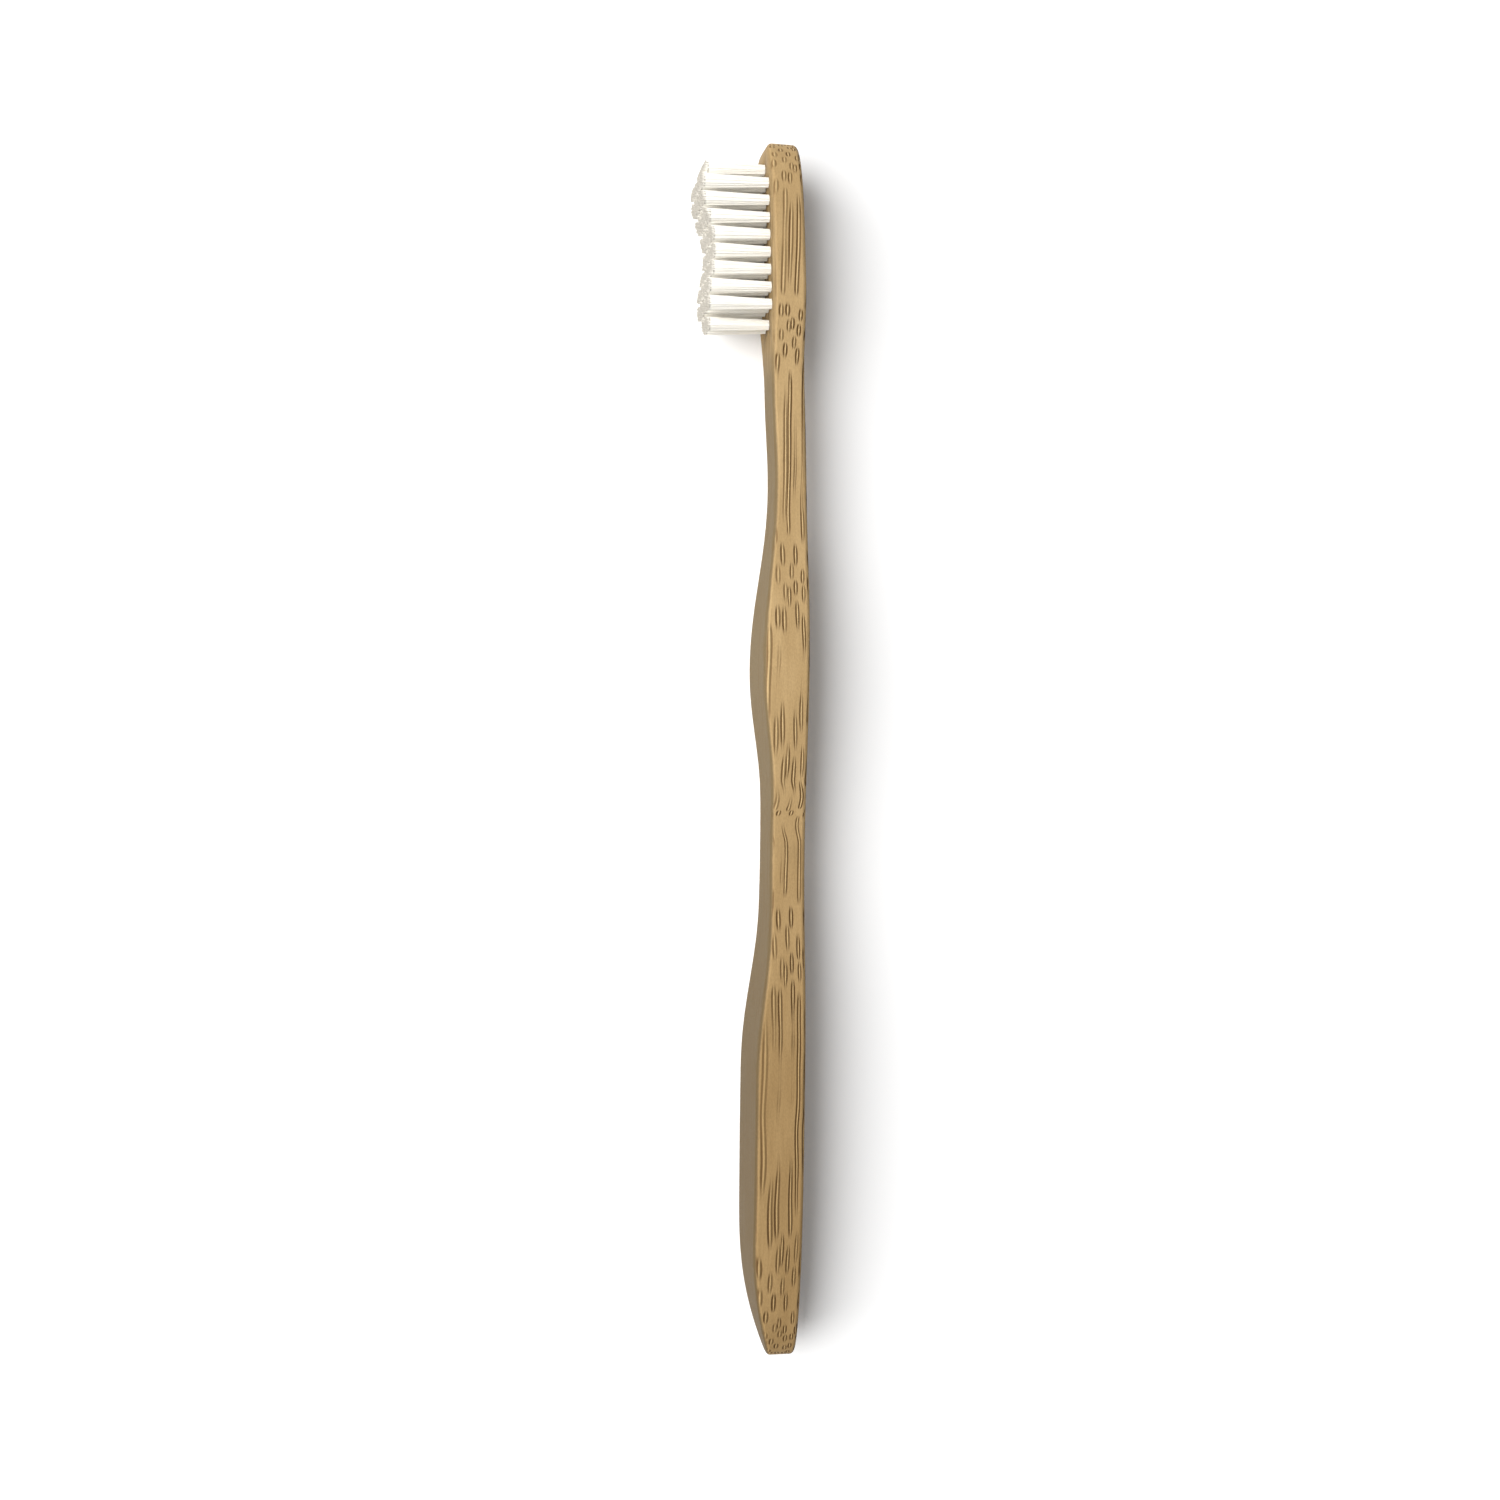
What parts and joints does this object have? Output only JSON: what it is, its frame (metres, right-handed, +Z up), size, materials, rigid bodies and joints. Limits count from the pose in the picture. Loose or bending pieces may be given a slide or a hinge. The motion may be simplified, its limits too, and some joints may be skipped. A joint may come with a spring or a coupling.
{
  "type": "manual toothbrush",
  "caption": "Slim manual toothbrush: contoured bamboo handle with a flat back, a slightly forward-leaning head and staple-set nylon tufts trimmed to a wave.",
  "frame": {"origin": "under the middle of the brush, on the surface that it lies on with its side down", "axes": "+Y along the handle towards the head; +X out of the flat back, so the bristles point to -X; +Z up, across the width"},
  "size_m": [0.0182, 0.19, 0.0136],
  "materials": {
    "bamboo": "bare sanded bamboo, satin, with lengthwise fibre bundles",
    "bristle": "off-white nylon filaments, slightly translucent, soft sheen",
    "anchor_metal": "flat drawn wire, bright at the sheared ends"
  },
  "bodies": {
    "handle": {"handle": "bamboo", "anchors": "anchor_metal"},
    "tuft_row_01": {"tuft_01_b": "bristle", "tuft_01_c": "bristle"},
    "tuft_row_02": {"tuft_02_a": "bristle", "tuft_02_b": "bristle", "tuft_02_c": "bristle", "tuft_02_d": "bristle"},
    "tuft_row_03": {"tuft_03_a": "bristle", "tuft_03_b": "bristle", "tuft_03_c": "bristle", "tuft_03_d": "bristle"},
    "tuft_row_04": {"tuft_04_a": "bristle", "tuft_04_b": "bristle", "tuft_04_c": "bristle", "tuft_04_d": "bristle"},
    "tuft_row_05": {"tuft_05_a": "bristle", "tuft_05_b": "bristle", "tuft_05_c": "bristle", "tuft_05_d": "bristle"},
    "tuft_row_06": {"tuft_06_a": "bristle", "tuft_06_b": "bristle", "tuft_06_c": "bristle", "tuft_06_d": "bristle"},
    "tuft_row_07": {"tuft_07_a": "bristle", "tuft_07_b": "bristle", "tuft_07_c": "bristle", "tuft_07_d": "bristle"},
    "tuft_row_08": {"tuft_08_a": "bristle", "tuft_08_b": "bristle", "tuft_08_c": "bristle", "tuft_08_d": "bristle"},
    "tuft_row_09": {"tuft_09_a": "bristle", "tuft_09_b": "bristle", "tuft_09_c": "bristle", "tuft_09_d": "bristle"},
    "tuft_row_10": {"tuft_10_b": "bristle", "tuft_10_c": "bristle"}
  },
  "joints": [
    {"name": "tuft_row_01_flex", "type": "hinge", "parent": "handle", "child": "tuft_row_01", "pos_m": [0.00168, 0.09051, 0.0068], "axis": [0, 0, 1], "range_deg": [-25, 25], "stiffness_Nm_per_rad": 0.006, "deforming": ["tuft_01_b", "tuft_01_c"]},
    {"name": "tuft_row_02_flex", "type": "hinge", "parent": "handle", "child": "tuft_row_02", "pos_m": [0.00179, 0.08783, 0.0068], "axis": [0, 0, 1], "range_deg": [-25, 25], "stiffness_Nm_per_rad": 0.012, "deforming": ["tuft_02_a", "tuft_02_b", "tuft_02_c", "tuft_02_d"]},
    {"name": "tuft_row_03_flex", "type": "hinge", "parent": "handle", "child": "tuft_row_03", "pos_m": [0.00189, 0.08515, 0.0068], "axis": [0, 0, 1], "range_deg": [-25, 25], "stiffness_Nm_per_rad": 0.012, "deforming": ["tuft_03_a", "tuft_03_b", "tuft_03_c", "tuft_03_d"]},
    {"name": "tuft_row_04_flex", "type": "hinge", "parent": "handle", "child": "tuft_row_04", "pos_m": [0.002, 0.08248, 0.0068], "axis": [0, 0, 1], "range_deg": [-25, 25], "stiffness_Nm_per_rad": 0.012, "deforming": ["tuft_04_a", "tuft_04_b", "tuft_04_c", "tuft_04_d"]},
    {"name": "tuft_row_05_flex", "type": "hinge", "parent": "handle", "child": "tuft_row_05", "pos_m": [0.00211, 0.0798, 0.0068], "axis": [0, 0, 1], "range_deg": [-25, 25], "stiffness_Nm_per_rad": 0.012, "deforming": ["tuft_05_a", "tuft_05_b", "tuft_05_c", "tuft_05_d"]},
    {"name": "tuft_row_06_flex", "type": "hinge", "parent": "handle", "child": "tuft_row_06", "pos_m": [0.00222, 0.07712, 0.0068], "axis": [0, 0, 1], "range_deg": [-25, 25], "stiffness_Nm_per_rad": 0.012, "deforming": ["tuft_06_a", "tuft_06_b", "tuft_06_c", "tuft_06_d"]},
    {"name": "tuft_row_07_flex", "type": "hinge", "parent": "handle", "child": "tuft_row_07", "pos_m": [0.00232, 0.07444, 0.0068], "axis": [0, 0, 1], "range_deg": [-25, 25], "stiffness_Nm_per_rad": 0.012, "deforming": ["tuft_07_a", "tuft_07_b", "tuft_07_c", "tuft_07_d"]},
    {"name": "tuft_row_08_flex", "type": "hinge", "parent": "handle", "child": "tuft_row_08", "pos_m": [0.00243, 0.07177, 0.0068], "axis": [0, 0, 1], "range_deg": [-25, 25], "stiffness_Nm_per_rad": 0.012, "deforming": ["tuft_08_a", "tuft_08_b", "tuft_08_c", "tuft_08_d"]},
    {"name": "tuft_row_09_flex", "type": "hinge", "parent": "handle", "child": "tuft_row_09", "pos_m": [0.00254, 0.06909, 0.0068], "axis": [0, 0, 1], "range_deg": [-25, 25], "stiffness_Nm_per_rad": 0.012, "deforming": ["tuft_09_a", "tuft_09_b", "tuft_09_c", "tuft_09_d"]},
    {"name": "tuft_row_10_flex", "type": "hinge", "parent": "handle", "child": "tuft_row_10", "pos_m": [0.00265, 0.06641, 0.0068], "axis": [0, 0, 1], "range_deg": [-25, 25], "stiffness_Nm_per_rad": 0.006, "deforming": ["tuft_10_b", "tuft_10_c"]}
  ],
  "couplings": [
    {"joint": "tuft_row_01_flex", "follows": "tuft_row_05_flex", "ratio": 1},
    {"joint": "tuft_row_02_flex", "follows": "tuft_row_05_flex", "ratio": 1},
    {"joint": "tuft_row_03_flex", "follows": "tuft_row_05_flex", "ratio": 1},
    {"joint": "tuft_row_04_flex", "follows": "tuft_row_05_flex", "ratio": 1},
    {"joint": "tuft_row_06_flex", "follows": "tuft_row_05_flex", "ratio": 1},
    {"joint": "tuft_row_07_flex", "follows": "tuft_row_05_flex", "ratio": 1},
    {"joint": "tuft_row_08_flex", "follows": "tuft_row_05_flex", "ratio": 1},
    {"joint": "tuft_row_09_flex", "follows": "tuft_row_05_flex", "ratio": 1},
    {"joint": "tuft_row_10_flex", "follows": "tuft_row_05_flex", "ratio": 1}
  ]
}
